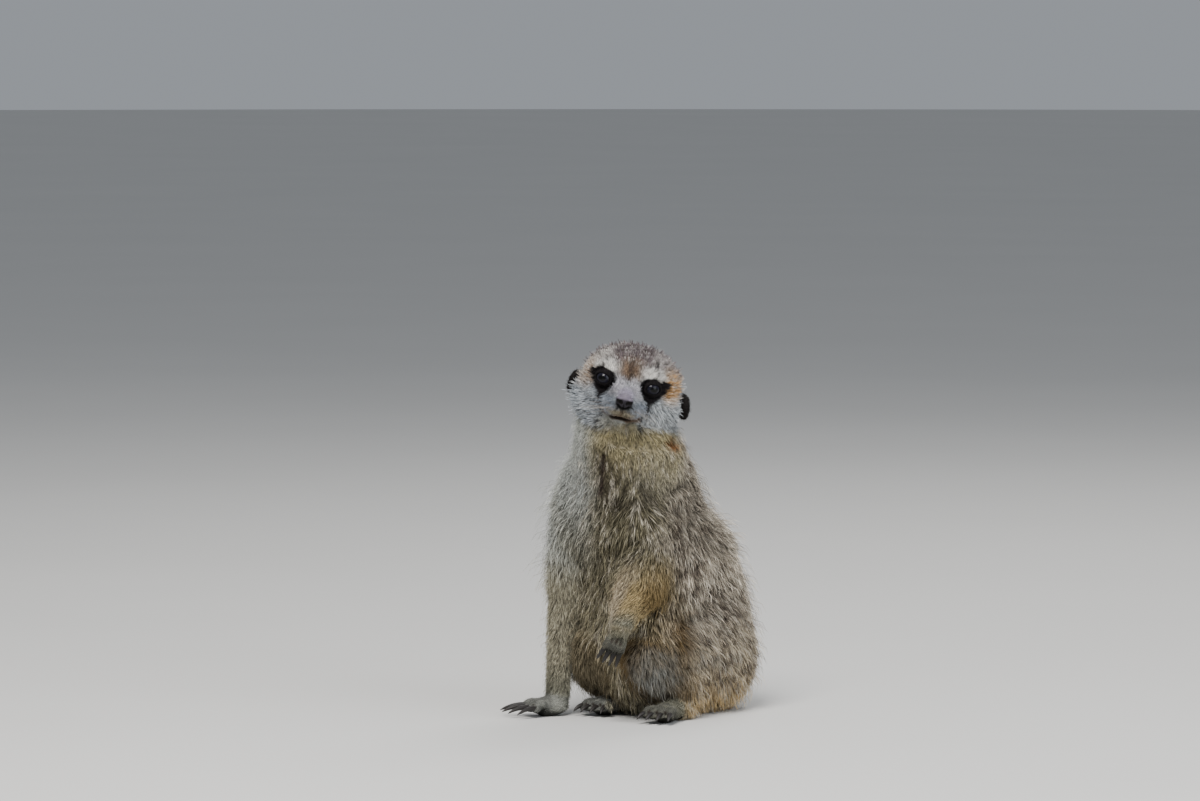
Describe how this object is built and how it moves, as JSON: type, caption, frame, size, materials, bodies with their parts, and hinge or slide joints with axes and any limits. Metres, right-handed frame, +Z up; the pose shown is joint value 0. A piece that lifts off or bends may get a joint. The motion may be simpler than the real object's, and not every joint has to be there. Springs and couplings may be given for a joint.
{
  "type": "meerkat",
  "caption": "Meerkat sitting upright with one forefoot planted, the other forearm raised and the head turned, life-size and still.",
  "frame": {"origin": "on the floor, under the middle of the outline", "axes": "+Z up, the hips face -Y, +X is the animal's left"},
  "size_m": [0.1824, 0.2118, 0.2288],
  "materials": {
    "coat_back": "long grizzled cream-grey coat with dark brown streaks",
    "coat_pale": "pale cream-grey fur",
    "coat_gold": "golden-tan fur",
    "ear_hair": "short black-brown hair",
    "eye": "wet, very dark brown eye",
    "nose_skin": "bare, moist grey-brown skin",
    "claw_horn": "dark grey horn, polished by digging"
  },
  "bodies": {
    "root": {"claw_forefoot_l_1": "claw_horn", "claw_forefoot_l_2": "claw_horn", "claw_forefoot_l_3": "claw_horn", "claw_forefoot_l_4": "claw_horn", "claw_forefoot_r_1": "claw_horn", "claw_forefoot_r_2": "claw_horn", "claw_forefoot_r_3": "claw_horn", "claw_forefoot_r_4": "claw_horn", "claw_hindfoot_l_1": "claw_horn", "claw_hindfoot_l_2": "claw_horn", "claw_hindfoot_l_3": "claw_horn", "claw_hindfoot_l_4": "claw_horn", "claw_hindfoot_r_1": "claw_horn", "claw_hindfoot_r_2": "claw_horn", "claw_hindfoot_r_3": "claw_horn", "claw_hindfoot_r_4": "claw_horn", "ear_l": "ear_hair", "ear_r": "ear_hair", "eye_l": "eye", "eye_r": "eye", "forearm_l": "coat_gold", "forearm_r": "coat_gold", "forefoot_l": "coat_pale", "forefoot_r": "coat_pale", "head": "coat_pale", "hindfoot_l": "coat_pale", "hindfoot_r": "coat_pale", "neck": "coat_pale", "nose": "nose_skin", "shank_l": "coat_pale", "shank_r": "coat_pale", "tail_middle": "coat_gold", "tail_root": "coat_gold", "tail_tip": "ear_hair", "thigh_l": "coat_gold", "thigh_r": "coat_gold", "trunk": "coat_back", "upper_arm_l": "coat_pale", "upper_arm_r": "coat_pale"}
  },
  "joints": []
}
